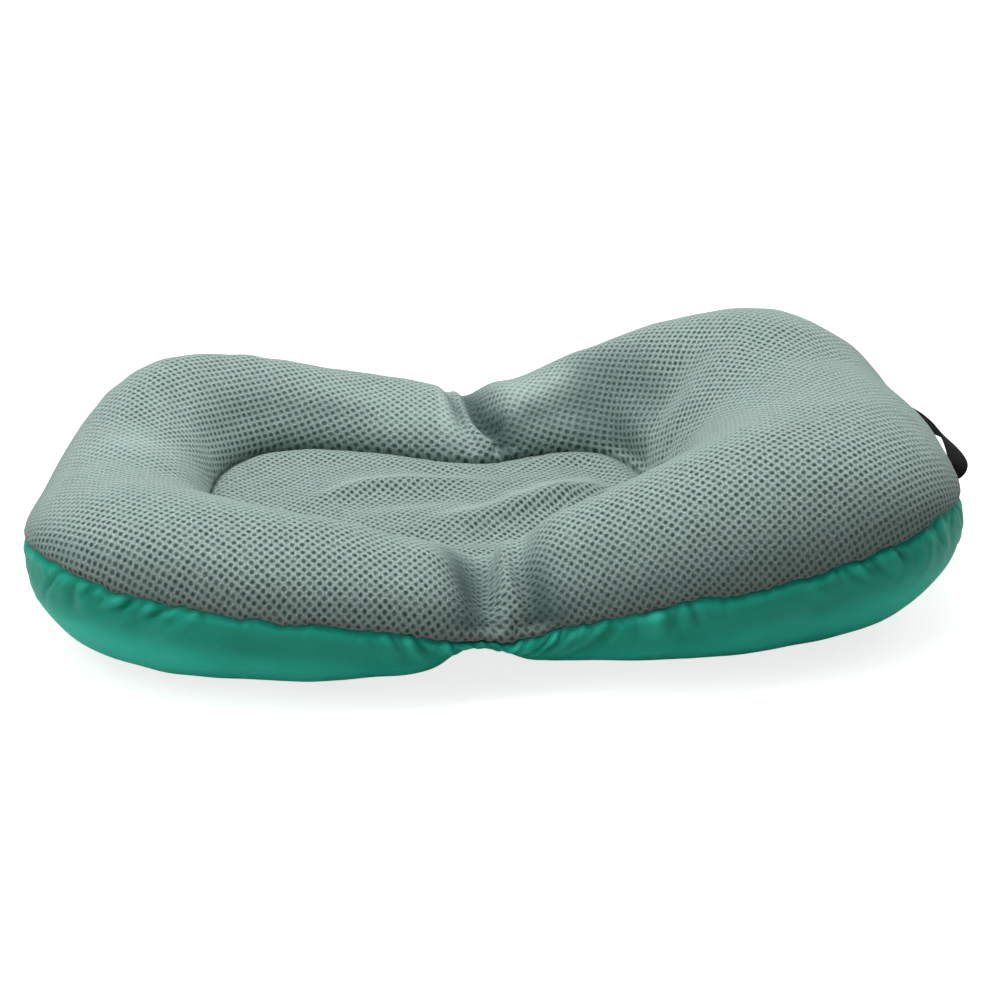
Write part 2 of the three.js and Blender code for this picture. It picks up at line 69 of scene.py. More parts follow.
# Slow wander of the sewn line above and below its even course: (degrees, mm)
SEAM_DRIFT = np.array([
    (0, 3.0), (30, 0), (150, 0), (180, 3.4), (192, 4.2), (200, 3.4), (207, -1.4), (213, -4.0),
    (221, -3.2), (229, -2.0), (240, -2.6), (248, -1.0), (256, -2.2), (266, -2.8), (276, -2.6),
    (290, -1.6), (298, 0.4), (302, 2.2), (306, -2.4), (312, -3.0), (322, -2.8), (327, -0.6),
    (331, 2.4), (338, 4.6), (346, 5.6), (354, 5.0), (360, 3.0)])
DRIFT_SMOOTHING = 190                 # smoothing width is the turn divided by this

WEB_RIB = 1.15                        # pitch of the ribs across the webbing


# ------------------------------------------------------------------ curves and noise
def smooth_ring(values, sigma):
    """Periodic gaussian smoothing, sigma in samples"""
    gain = np.exp(-2 * (np.pi * np.fft.rfftfreq(len(values)) * sigma) ** 2)
    return np.fft.irfft(np.fft.rfft(values) * gain, len(values))


def cubic(rows, where, wrap=False):
    """Catmull-Rom curve through rows, read at fractional row numbers"""
    count = len(rows)
    start = np.floor(where).astype(int)
    if not wrap:
        start = np.clip(start, 0, count - 2)
    t = (where - start).reshape(-1, *[1] * (rows.ndim - 1))

    def at(step):
        index = start + step
        return rows[index % count if wrap else np.clip(index, 0, count - 1)]

    before, here, after, beyond = at(-1), at(0), at(1), at(2)
    return here + 0.5 * t * (after - before + t * (
        2 * before - 5 * here + 4 * after - beyond + t * (3 * (here - after) + beyond - before)))


def refine(table):
    where = np.linspace(0, len(table), FINE_STEPS, endpoint=False)
    return smooth_ring(cubic(np.array(table, float), where, wrap=True), FINE_SMOOTHING)


def at_angle(table, angle):
    where = (np.asarray(angle) / TAU * FINE_STEPS) % FINE_STEPS
    start = np.floor(where).astype(int)
    t = where - start
    return table[start % FINE_STEPS] * (1 - t) + table[(start + 1) % FINE_STEPS] * t


def ease(x, start, end):
    """0 before start, 1 after end, smooth between"""
    t = np.clip((x - start) / (end - start), 0, 1)
    return t * t * (3 - 2 * t)


def band(x, rise, full, fall, end):
    """1 from full to fall, 0 outside rise and end"""
    return ease(x, rise, full) * (1 - ease(x, fall, end))


def bell(x, width, centre=0.0, power=2):
    return np.exp(-((x - centre) / width) ** power)


def gaussian(x, centre, sigma):
    return np.exp(-((x - centre) ** 2) / (2 * sigma ** 2))


def waves(points, scale, seed, count=22, spread=0.55):
    """Smooth noise of about unit amplitude: plane waves with lengths near scale (mm)"""
    rng = np.random.default_rng(seed)
    heading = rng.normal(size=(count, 3))
    heading /= np.linalg.norm(heading, axis=1, keepdims=True)
    rate = TAU / (scale * np.exp(rng.uniform(-spread, spread, count)))
    phase = rng.uniform(0, TAU, count)
    total = np.zeros(points.shape[:-1])
    for i in range(count):
        total += np.cos((points @ heading[i]) * rate[i] + phase[i])
    return total * math.sqrt(2 / count)


def path_length(points):
    """Length run so far along the first axis"""
    steps = np.linalg.norm(np.diff(points, axis=0), axis=-1)
    return np.concatenate([np.zeros((1,) + steps.shape[1:]), np.cumsum(steps, axis=0)])


def ring_length(points):
    return path_length(points)[-1] + np.linalg.norm(points[0] - points[-1])


def crease(x, y, width, left_flank, stations):
    """Valley or ridge along (x, y, height) stations, gaussian across.

    The flank on the left of its run is left_flank times as wide as the other."""
    stations = np.asarray(stations, float)
    nearest = np.full(x.shape, 1e9)
    value = np.zeros(x.shape)
    for (x0, y0, height0), (x1, y1, height1) in zip(stations, stations[1:]):
        run_x, run_y = x1 - x0, y1 - y0
        t = ((x - x0) * run_x + (y - y0) * run_y) / (run_x ** 2 + run_y ** 2)
        t = np.clip(t, 0, 1)
        away = np.hypot(x - (x0 + t * run_x), y - (y0 + t * run_y))
        left = (run_x * (y - y0) - run_y * (x - x0)) > 0
        away = away / (width * np.where(left, left_flank, 1.0))
        take = away < nearest
        value = np.where(take, (height0 * (1 - t) + height1 * t) * bell(away, 1.0), value)
        nearest = np.where(take, away, nearest)
    return value


def creases(x, y, table):
    """Sum of (width, left_flank, stations) creases"""
    return sum(crease(x, y, *row) for row in table)


def puckers(line, rng, count, width, reach, height, lean=0.25, bias=0.0, near=None, crisp=False):
    """Gathers that start at a seam, run away from it leaning a little, and die out.

    line is (run along the seam, its whole length, distance from it). near is (centre, spread)
    along the seam, or None for anywhere. Crisp ones are sharp grooves, others go either way."""
    run, whole, depth = line
    total = np.zeros_like(depth)
    for _ in range(count):
        centre = rng.uniform(0, whole) if near is None else rng.normal(*near)
        wide, long, high = rng.uniform(*width), rng.uniform(*reach), rng.uniform(*height)
        if crisp or rng.random() >= 0.5:
            high = -high
        slope = rng.normal(bias, lean)
        bend = rng.normal(0, 0.012)
        off = run[None] - centre - (slope + bend * depth) * depth
        off = np.abs((off + whole / 2) % whole - whole / 2)
        wide = wide * (1 + 0.6 * depth / long)
        if crisp:
            shape = np.exp(-off / (0.8 * wide)) - 0.45 * bell(off, wide, centre=1.9 * wide)
        else:
            shape = bell(off, wide)
        total += high * shape * bell(depth, long, power=2.4) * (1 - np.exp(-depth / 1.6))
    return total


# ------------------------------------------------------------------ cushion surfaces
SEAM_RADIUS, CREST_HEIGHT, SEAM_HEIGHT, WELL_RADIUS = (
    refine(table) for table in (SEAM_RADIUS, CREST_HEIGHT, SEAM_HEIGHT, WELL_RADIUS))


def seam(angle):
    radius = at_angle(SEAM_RADIUS, angle)
    return np.stack([radius * np.cos(angle), radius * np.sin(angle),
                     at_angle(SEAM_HEIGHT, angle)], -1)


def well_edge(angle):
    radius = at_angle(WELL_RADIUS, angle)
    x = POLE_X + radius * np.cos(angle)
    return np.stack([x, radius * np.sin(angle), WELL_Z - WELL_TILT * x], -1)


def well_outward(angle):
    """Unit normal of the well's edge in plan, pointing away from the well"""
    before, after = well_edge(angle - 0.01), well_edge(angle + 0.01)
    normal = np.stack([after[..., 1] - before[..., 1], before[..., 0] - after[..., 0]], -1)
    return normal / np.linalg.norm(normal, axis=-1, keepdims=True)


def top_point(angle, share):
    """Ring cover, from the seam (share 0) over the crest (0.5) to the well's edge (1)"""
    outer, inner = seam(angle), well_edge(angle)
    crest = at_angle(CREST_HEIGHT, angle) - WAIST_DIP * gaussian(outer[..., 0], DIP_X, DIP_SPREAD)
    rising, falling = share * np.pi, (share - 0.5) * np.pi
    inward = np.where(share <= 0.5, OUTER_SHARE * (1 - np.cos(rising)),
                      OUTER_SHARE + (1 - OUTER_SHARE) * np.sin(falling))
    z = np.where(
        share <= 0.5,
        outer[..., 2] + (crest - outer[..., 2]) * np.abs(np.sin(rising)) ** OUTER_ROUND,
        inner[..., 2] + (crest - inner[..., 2]) * np.maximum(np.cos(falling), 0) ** INNER_ROUND)
    plan = outer[..., :2] + (inner[..., :2] - outer[..., :2]) * inward[..., None]
    return np.concatenate([plan, z[..., None]], -1)


def under_point(angle, share):
    """Lower shell, from the seam (share 0) down to the foot of its side (1)"""
    rim = seam(angle)
    arch = ARCH * gaussian(rim[..., 0], ARCH_X, ARCH_SPREAD)
    arch = np.where(arch < 0.05, 0, np.minimum(arch, rim[..., 2] - ARCH_GAP))
    turn = share * np.pi / 2
    radius = np.hypot(rim[..., 0], rim[..., 1])
    inset = UNDER_INSET * (1 - np.cos(turn)) - UNDER_BULGE * np.sin(2 * turn)
    return np.stack([rim[..., 0] - rim[..., 0] / radius * inset,
                     rim[..., 1] - rim[..., 1] / radius * inset,
                     rim[..., 2] - (rim[..., 2] - arch) * np.sin(turn)], -1)


def seam_shift(angle, rim, distance, drift_reach, wiggle_reach):
    """Height change near the sewn line, the same for the cover and the shell"""
    degrees = np.degrees(angle) % 360
    drift = smooth_ring(np.interp(degrees, *SEAM_DRIFT.T), len(angle) / DRIFT_SMOOTHING)
    wiggle = 0.60 * waves(rim, 26, seed=31) + 0.40 * waves(rim, 10, seed=32)
    return drift * bell(distance, drift_reach) + wiggle * bell(distance, wiggle_reach)


# ------------------------------------------------------------------ meshes
def grid_normals(points):
    around = np.roll(points, -1, 1) - np.roll(points, 1, 1)
    normal = np.cross(around, np.gradient(points, axis=0))
    return normal / np.maximum(np.linalg.norm(normal, axis=-1, keepdims=True), 1e-9)


def ring_quads(rows, columns, flip=False):
    row, column = np.meshgrid(np.arange(rows - 1), np.arange(columns), indexing="ij")
    here = row * columns + column
    beside = row * columns + (column + 1) % columns
    quads = np.stack([here, beside, beside + columns, here + columns], -1).reshape(-1, 4)
    return (quads[:, ::-1] if flip else quads).tolist()


def make_mesh(name, points, faces, material, cloth, **attributes):
    """Smooth mesh from points in mm, with cloth coordinates in mm and point attributes"""
    mesh = bpy.data.meshes.new(name)
    mesh.from_pydata((points * MM).tolist(), [], faces)
    layer = mesh.uv_layers.new(name="Fabric")
    index = np.zeros(len(mesh.loops), int)
    mesh.loops.foreach_get("vertex_index", index)
    layer.data.foreach_set("uv", np.asarray(cloth, np.float32)[index].ravel())
    for key, values in attributes.items():
        attribute = mesh.attributes.new(key, "FLOAT", "POINT")
        attribute.data.foreach_set("value", np.asarray(values, np.float32).ravel())
    mesh.materials.append(material)
    mesh.polygons.foreach_set("use_smooth", [True] * len(mesh.polygons))
    mesh.update()
    return link(name, mesh)


def link(name, data):
    made = bpy.data.objects.new(name, data)
    bpy.context.scene.collection.objects.link(made)
    return made


# ------------------------------------------------------------------ materials
class Nodes:
    """A material with a principled shader, and short calls for adding nodes to it"""

    def __init__(self, name):
        self.material = bpy.data.materials.new(name)
        self.material.use_nodes = True
        self.tree = self.material.node_tree
        self.tree.nodes.clear()
        output = self.tree.nodes.new("ShaderNodeOutputMaterial")
        self.shader = self.tree.nodes.new("ShaderNodeBsdfPrincipled")
        self.tree.links.new(self.shader.outputs[0], output.inputs[0])

    def put(self, socket, value):
        if isinstance(value, bpy.types.NodeSocket):
            self.tree.links.new(value, socket)
        elif isinstance(value, tuple) and len(value) == 3 and socket.type == "RGBA":
            socket.default_value = (*value, 1)
        else:
            socket.default_value = value

    def surface(self, **inputs):
        for key, value in inputs.items():
            self.put(self.shader.inputs[key.replace("_", " ")], value)

    def node(self, kind, *inputs, out=0, props=None, **named):
        made = self.tree.nodes.new(kind)
        for key, value in (props or {}).items():
            setattr(made, key, value)
        for i, value in enumerate(inputs):
            self.put(made.inputs[i], value)
        for key, value in named.items():
            self.put(made.inputs[key.replace("_", " ")], value)
        return made.outputs[out]

    def math(self, operation, first, second=0.0):
        return self.node("ShaderNodeMath", first, second, 0.0, props={"operation": operation})

    def add(self, first, second):
        return self.math("ADD", first, second)

    def sub(self, first, second):
        return self.math("SUBTRACT", first, second)

    def mul(self, first, second):
        return self.math("MULTIPLY", first, second)

    def wave(self, along, pitch):
        return self.math("SINE", self.mul(along, TAU / pitch))

    def fade(self, value, mask, amount):
        """Lower value by the given share where mask is 1"""
        return self.mul(value, self.sub(1.0, self.mul(mask, amount)))

    def vector(self, operation, first, second=(0, 0, 0), **named):
        return self.node("ShaderNodeVectorMath", first, second,
                         props={"operation": operation}, **named)

    def attribute(self, name):
        return self.node("ShaderNodeAttribute", out="Fac", props={"attribute_name": name})

    def cloth(self):
        return self.node("ShaderNodeUVMap", props={"uv_map": "Fabric"})

    def solid(self):
        return self.node("ShaderNodeTexCoord", out="Object")

    def split(self, vector):
        made = self.tree.nodes.new("ShaderNodeSeparateXYZ")
        self.put(made.inputs[0], vector)
        return made.outputs

    def noise(self, vector, scale, detail, rough=0.5, out="Fac"):
        return self.node("ShaderNodeTexNoise", out=out, Vector=vector, Scale=scale,
                         Detail=detail, Roughness=rough)

    def ramp(self, value, span, to=(0.0, 1.0), kind="SMOOTHSTEP"):
        return self.node("ShaderNodeMapRange", props={"interpolation_type": kind}, Value=value,
                         From_Min=span[0], From_Max=span[1], To_Min=to[0], To_Max=to[1])

    def mix(self, factor, under, over, blend="MIX"):
        made = self.tree.nodes.new("ShaderNodeMix")
        made.data_type = "RGBA"
        made.blend_type = blend
        self.put(made.inputs["Factor"], factor)
        colours = [socket for socket in made.inputs if socket.type == "RGBA"]
        self.put(colours[0], under)
        self.put(colours[1], over)
        return [socket for socket in made.outputs if socket.type == "RGBA"][0]

    def darken(self, under, by):
        return self.mix(1.0, under, by, "MULTIPLY")

    def tint(self, under, mask, amount, colour):
        """Blend toward colour by the given share where mask is 1"""
        return self.mix(self.mul(mask, amount), under, colour)

    def bump(self, height, strength, distance, **under):
        return self.node("ShaderNodeBump", Height=height, Strength=strength,
                         Distance=distance, **under)


def srgb(*levels, shade=1.0):
    """Linear colour from 8-bit sRGB levels, scaled by shade"""
    parts = [level / 255 for level in levels]
    return tuple((part / 12.92 if part <= 0.04045 else ((part + 0.055) / 1.055) ** 2.4) * shade
                 for part in parts)


def spacer_mesh_material(name, shade, grazing, grazing_low, painted_light_fill, painted_light_pale):
    """Knitted spacer mesh: round openings on a centred lattice with yarn relief between.

    The openings carry painted shade for the shade inside them, and it falls to grazing_low over
    the grazing span of view angle. Where the mask of painted light is 1, the fill amount hides
    the openings' painted shade and the pale amount paints the knit paler, as painted light.
    painted_light_fill hides its openings and painted_light_pale lightens it."""
    pitch = (5.75, 5.4)                      # mm
    smallest, extra = 0.82, 0.82             # ring round each opening, which stands a little proud and carries a painted glint, mm
    rim_radius = 2.05                        # pale ring round each opening, mm
    wobble_size = 0.9                        # mm

    net = Nodes(name)
    solid = net.solid()
    wobble = net.vector("SUBTRACT", net.noise(solid, scale=90.0, detail=2.0, out="Color"),
                        (0.5, 0.5, 0.5))
    cloth = net.vector("ADD", net.cloth(), net.vector("SCALE", wobble, Scale=wobble_size))
    cells = [net.math("DIVIDE", along, size) for along, size in zip(net.split(cloth), pitch)]

    def centre_distance(shift):
        x, y = [net.mul(net.sub(net.math("FRACT", net.add(cell, shift)), 0.5), size)
                for cell, size in zip(cells, pitch)]
        return net.math("SQRT", net.add(net.mul(x, x), net.mul(y, y)))

    distance = net.math("MINIMUM", centre_distance(0.0), centre_distance(0.5))
    jitter = net.noise(solid, scale=260.0, detail=2.0)
    radius = net.add(smallest, net.mul(jitter, extra))
    hole = net.ramp(net.sub(distance, radius), span=(-0.85, 0.62), to=(1.0, 0.0))
    yarn = net.noise(net.vector("MULTIPLY", cloth, (1.0, 0.7, 1.0)),
                     scale=0.95, detail=4.0, rough=0.72)
    rim = net.ramp(net.math("ABSOLUTE", net.sub(distance, rim_radius)),
                   span=(0.0, 0.8), to=(1.0, 0.0))
    spark = net.mul(net.ramp(yarn, span=(0.50, 0.66)), net.sub(1.0, hole))

    # painted shade inside the openings: how dark each opening shows, less at grazing views
    painted_light, painted_shade = net.attribute("relief"), net.attribute("fold")
    facing = net.node("ShaderNodeLayerWeight", out="Facing", Blend=0.5)
    seen = net.mul(hole, net.ramp(facing, span=grazing, to=(1.0, grazing_low)))
    patchy = net.noise(solid, scale=150.0, detail=3.0)
    seen = net.mul(seen, net.ramp(patchy, span=(0.32, 0.58), to=(0.62, 1.0)))
    seen = net.fade(seen, painted_light, amount=painted_light_fill)
    seen = net.fade(seen, painted_shade, amount=0.60)

    # yarn colour, with its dark gaps, and painted glints on the yarn and round the openings
    tone = net.noise(solid, scale=26.0, detail=3.0, rough=0.55)
    base = net.mix(tone, srgb(141, 164, 158, shade=shade), srgb(156, 178, 172, shade=shade))
    base = net.mix(net.ramp(yarn, span=(0.30, 0.62)),
                   net.darken(base, by=(0.47, 0.51, 0.50)), base)
    glint = net.math("MAXIMUM", net.mul(rim, 0.35), spark)     # rims glint less than yarn
    base = net.tint(base, glint, amount=0.80, colour=srgb(206, 220, 216))
    # painted light: paler knit where the painted-light mask lies
    base = net.tint(base, painted_light, amount=painted_light_pale, colour=srgb(184, 203, 198))
    # painted shade: darker knit where the painted-shade mask lies
    base = net.tint(base, painted_shade, amount=0.86, colour=srgb(50, 78, 73))

    # a warm ragged band along the outer seam (ragged by up to 5 mm), inside a wider band of
    # painted shade where the cover turns down into the seam
    edge = net.attribute("seam_mm")
    ragged = net.add(edge, net.mul(net.noise(solid, scale=120.0, detail=2.0), 5.0))
    base = net.tint(base, net.ramp(ragged, span=(3.0, 11.0), to=(1.0, 0.0)),
                    amount=0.60, colour=srgb(122, 108, 106))
    # painted shade: darker toward the outer seam
    base = net.mix(net.ramp(edge, span=(0.0, 30.0), to=(0.55, 0.0), kind="LINEAR"),
                   base, srgb(62, 86, 81))

    height = net.add(net.sub(1.0, hole), net.mul(rim, 0.18))   # rims stand a little proud
    lattice = net.bump(height, strength=0.6, distance=0.0009)
    # the openings take the painted shade
    net.surface(Base_Color=net.mix(seen, base, net.darken(base, by=(0.165, 0.245, 0.232))),
                Roughness=net.ramp(hole, span=(0.0, 1.0), to=(0.78, 0.95)),
                Specular_IOR_Level=0.2, Sheen_Weight=0.15, Sheen_Roughness=0.45,
                Sheen_Tint=(0.80, 0.90, 0.87),
                Normal=net.bump(yarn, strength=0.65, distance=0.0006, Normal=lattice))
    return net.material


def taffeta_material(name):
    """Satin-faced taffeta: fine plain weave and soft streaks, with painted light and painted
    shade on its puckers and below the seam
    """
    thread = 0.62                            # mm
    net = Nodes(name)
    solid, cloth = net.solid(), net.cloth()
    across = net.split(cloth)
    weave = net.mul(net.wave(across[0], thread), net.wave(across[1], thread))
    slub = net.noise(net.vector("MULTIPLY", cloth, (0.9, 0.06, 1.0)),
                     scale=1.0, detail=3.0, rough=0.6)
    cross_slub = net.noise(net.vector("MULTIPLY", cloth, (0.05, 0.8, 1.0)),
                           scale=1.0, detail=3.0, rough=0.6)
    tone = net.noise(solid, scale=14.0, detail=3.0, rough=0.5)
    base = net.mix(tone, srgb(25, 164, 139), srgb(33, 178, 152))
    base = net.tint(base, net.ramp(slub, span=(0.3, 0.75)), amount=0.20,
                    colour=srgb(52, 205, 178))
    base = net.tint(base, net.ramp(cross_slub, span=(0.35, 0.8)), amount=0.16,
                    colour=srgb(22, 150, 126))

    # puckers: painted highlights on the ridges, painted shade in the grooves (mm)
    relief = net.attribute("relief")
    base = net.mix(net.ramp(relief, span=(0.1, 1.2), to=(0.0, 0.30)), base, srgb(60, 212, 186))
    base = net.mix(net.ramp(relief, span=(-1.3, -0.1), to=(0.45, 0.0)), base, srgb(18, 130, 108))

    # below the seam: a painted shadow line, a belt of painted shade, then paler cloth lower down
    # as painted light from the floor (mm)
    drop = net.attribute("seam_mm")
    painted_shade_belt = net.mul(net.ramp(drop, span=(1.0, 9.0)),
                   net.ramp(drop, span=(18.0, 40.0), to=(1.0, 0.0)))
    base = net.tint(base, painted_shade_belt, amount=0.50, colour=srgb(12, 120, 98))
    # painted light from the floor, lower down
    base = net.mix(net.ramp(drop, span=(24.0, 56.0), to=(0.0, 0.48)), base, srgb(56, 206, 180))
    # painted shadow line under the cover's edge
    base = net.mix(net.ramp(drop, span=(0.0, 1.1), to=(0.7, 0.0)), base, srgb(10, 84, 70))

    threads = net.add(net.mul(weave, 0.5), net.mul(slub, 0.9))    # shares of the relief
    fine = net.bump(threads, strength=0.14, distance=0.0003)
    crumple = net.noise(solid, scale=60.0, detail=3.0, rough=0.55)
    net.surface(Base_Color=base,
                Roughness=net.ramp(slub, span=(0.2, 0.8), to=(0.42, 0.54)),
                Specular_IOR_Level=0.15, Sheen_Weight=0.07, Sheen_Roughness=0.35,
                Sheen_Tint=(0.25, 0.95, 0.80),
                Normal=net.bump(crumple, strength=0.10, distance=0.0014, Normal=fine))
    return net.material


def webbing_material(name):
    """Black webbing: ribs crossed by a herringbone"""
    twill, zigzag, slant = 1.7, 4.0, 9.0     # mm, mm, radians of phase per zigzag
    net = Nodes(name)
    across = net.split(net.cloth())
    rib = net.wave(across[0], WEB_RIB)
    fold = net.sub(net.math("FRACT", net.math("DIVIDE", across[0], zigzag)), 0.5)
    herringbone = net.math("SINE", net.add(net.mul(across[1], TAU / twill),
                                           net.mul(net.math("ABSOLUTE", fold), slant)))
    weave = net.add(net.mul(rib, 0.5), net.mul(herringbone, 0.5))    # half of each
    fuzz = net.noise(net.solid(), scale=900.0, detail=3.0)
    base = net.mix(net.ramp(weave, span=(-0.9, 0.9)),
                   (0.0022, 0.0023, 0.0025), (0.0085, 0.0087, 0.009))
    net.surface(Base_Color=net.tint(base, fuzz, amount=0.18, colour=(0.018, 0.018, 0.019)),
                Roughness=0.75, Specular_IOR_Level=0.12, Sheen_Weight=0.03, Sheen_Roughness=0.5,
                Normal=net.bump(weave, strength=0.55, distance=0.0004,
                                Normal=net.bump(fuzz, strength=0.2, distance=0.0002)))
    return net.material


cover_mesh = spacer_mesh_material("spacer_mesh", shade=1.0, grazing=(0.42, 0.86),
                                  grazing_low=0.16, painted_light_fill=0.40, painted_light_pale=0.40)
# the well floor is the same knit painted darker by shade 0.85: painted shade
panel_mesh = spacer_mesh_material("spacer_mesh_panel", shade=0.85, grazing=(0.34, 0.97),
                                  grazing_low=0.30, painted_light_fill=0.62, painted_light_pale=0.68)
teal_taffeta = taffeta_material("teal_taffeta")
black_webbing = webbing_material("black_webbing")


# ------------------------------------------------------------------ ring cover
# Creases: (width, left flank factor, [(x, y, height), ...]), in mm
FRONT_CREASES = [
    # two valleys either side of a strip that is pulled down to the seam
    (15.0, 0.46, [(-12, -68, -1.0), (-14, -90, -6.0), (-17.5, -112, -13.5), (-16, -135, -16.5),
                  (-14.5, -146, -16.0), (-15.5, -153, -11.0), (-18, -160, -4.0)]),
    (5.4, 1.7, [(12, -70, -1.0), (4, -92, -4.0), (-1.0, -118, -6.5), (2, -136, -8.0),
                (6.5, -147, -8.0), (9, -157, -4.0)]),
    # small folds on the strip, and its ridge
    (2.4, 1.0, [(-5, -144, -1.0), (-3, -151, -3.4), (2, -156, -3.4)]),
    (2.8, 1.0, [(-2, -104, 0.0), (-8, -114, -2.2), (-16, -128, -0.6)]),
    (5.4, 1.0, [(-3, -90, 0.4), (-5, -112, 1.2), (-6.5, -138, 2.4), (-7, -156, 2.0)]),
    # swells beyond the valleys
    (15.0, 1.0, [(-46, -96, 1.0), (-50, -126, 3.4), (-53, -150, 1.5)]),
    (13.0, 1.0, [(24, -96, 1.0), (22, -124, 3.4), (26, -146, 1.5)])]
BACK_CREASES = [
    # a shallow valley, a deep slanting one against the head lobe, the strip between, a swell
    (4.2, 1.0, [(-24, 150, -1.5), (-18.5, 110, -5.5), (-15.5, 86, -5.5), (-10.5, 70, -3.0),
                (-7, 64, -0.5)]),
    (4.4, 2.1, [(-13, 150, -2.0), (-9.5, 106, -8.5), (-6.0, 88, -14.5), (0.0, 76, -14.5),
                (7.0, 68, -11.0), (16, 64, -4.0)]),
    (3.6, 1.0, [(-16, 140, 0.0), (-13.8, 104, 1.6), (-10.6, 86, 3.4), (-5.5, 72, 1.8)]),
    (12.0, 1.0, [(8, 140, 2.0), (12, 108, 4.5), (19, 86, 3.0)])]
HEAD_CORNER = (19.0, 1.2, [(80, 40, 0.0), (95, 48, -5.0), (104, 53, -8.0), (114, 59, -7.0),
                           (130, 69, -4.0), (152, 84, 0.0)])
LOBE_RIDGES = [
    # beside the head corner, and out of the well's foot tip
    (22.0, 1.0, [(106, 14, 0.5), (124, 24, 2.6), (146, 36, 3.0), (165, 48, 0.0)]),
    (15.0, 1.0, [(-176, -5, 0.0), (-193, -6, 1.5), (-212, 2, 2.0), (-230, 14, 1.2),
                 (-248, 32, 0.0)])]
# Short drag lines up the head lobe's inner wall: (x, y) to (x, y), height
DRAG_LINES = [
    (92, 36, 108, 52, -1.3), (96, 26, 116, 36, 1.1), (98, 12, 122, 18, -1.2),
    (98, 2, 124, 2, 0.9), (88, 46, 101, 64, 1.2), (96, -14, 118, -20, -0.9),
    (80, 58, 88, 78, -1.2), (70, 66, 76, 88, 0.8), (92, -32, 110, -46, 0.8)]
# Painted shade in the valleys: as creases, with darkness for height
FRONT_SHADES = [
    (12.0, 1.2, [(-21, -88, 0.0), (-26, -112, 0.9), (-27.5, -136, 1.0), (-27, -150, 1.0),
                 (-28, -160, 0.6)]),
    (7.5, 1.7, [(4, -100, 0.0), (4, -122, 0.5), (8, -140, 0.8), (11, -150, 1.0),
                (17, -158, 0.9)])]
BACK_SHADES = [
    (3.2, 3.2, [(-11, 124, 0.9), (-8, 100, 1.2), (-3, 84, 1.3), (4, 73, 1.3), (13, 66, 0.8)]),
    (3.6, 1.0, [(-21, 120, 0.5), (-18, 104, 0.8), (-14, 84, 0.3)])]

SCALLOP, SCALLOP_PITCH = 0.28, 6.1           # small waves of the cover along the seam
WELL_TUCK_OUT, WELL_TUCK_DOWN = 1.6, 2.4     # the cover's inner edge dives under the panel

COLUMNS = 960
ANGLES = np.linspace(0, TAU, COLUMNS, endpoint=False)
SHARES = np.linspace(0, 1, 82)
SHARES = SHARES - 0.42 * np.sin(TAU * SHARES) / TAU      # closer rows at both seams
SHARES = np.unique(np.concatenate([
    SHARES, [0.0012, 0.003, 0.006, 0.010, 0.015, 0.99, 0.994, 0.9975]]))
TOP = top_point(*np.meshgrid(ANGLES, SHARES))
TOP_X, TOP_Y = TOP[..., 0], TOP[..., 1]
FROM_SEAM = path_length(TOP)
FROM_WELL = FROM_SEAM[-1] - FROM_SEAM
FRONT_WAIST = ease(-TOP_Y, 58, 78) * ease(FROM_SEAM, 0.5, 9)
BACK_WAIST = ease(TOP_Y, 52, 64) * ease(FROM_SEAM, 0.5, 9)
BACK_WALL = ease(TOP_Y, 20, 56) * band(FROM_WELL, 4, 26, 46, 86)   # wall behind the well


def cross(first, second):
    return first[..., 0] * second[..., 1] - first[..., 1] * second[..., 0]


def plane_triangles(corners, flat):
    """Each triangle in its own plane, turned over where its flat start runs the other way"""
    base, side = corners[:, 1] - corners[:, 0], corners[:, 2] - corners[:, 0]
    length = np.linalg.norm(base, axis=1)
    along = base / length[:, None]
    x = (side * along).sum(1)
    y = np.linalg.norm(side - along * x[:, None], axis=1)
    y[cross(flat[:, 1] - flat[:, 0], flat[:, 2] - flat[:, 0]) < 0] *= -1
    zero = np.zeros_like(x)
    return np.stack([zero, zero, length, zero, x, y], 1).reshape(-1, 3, 2)


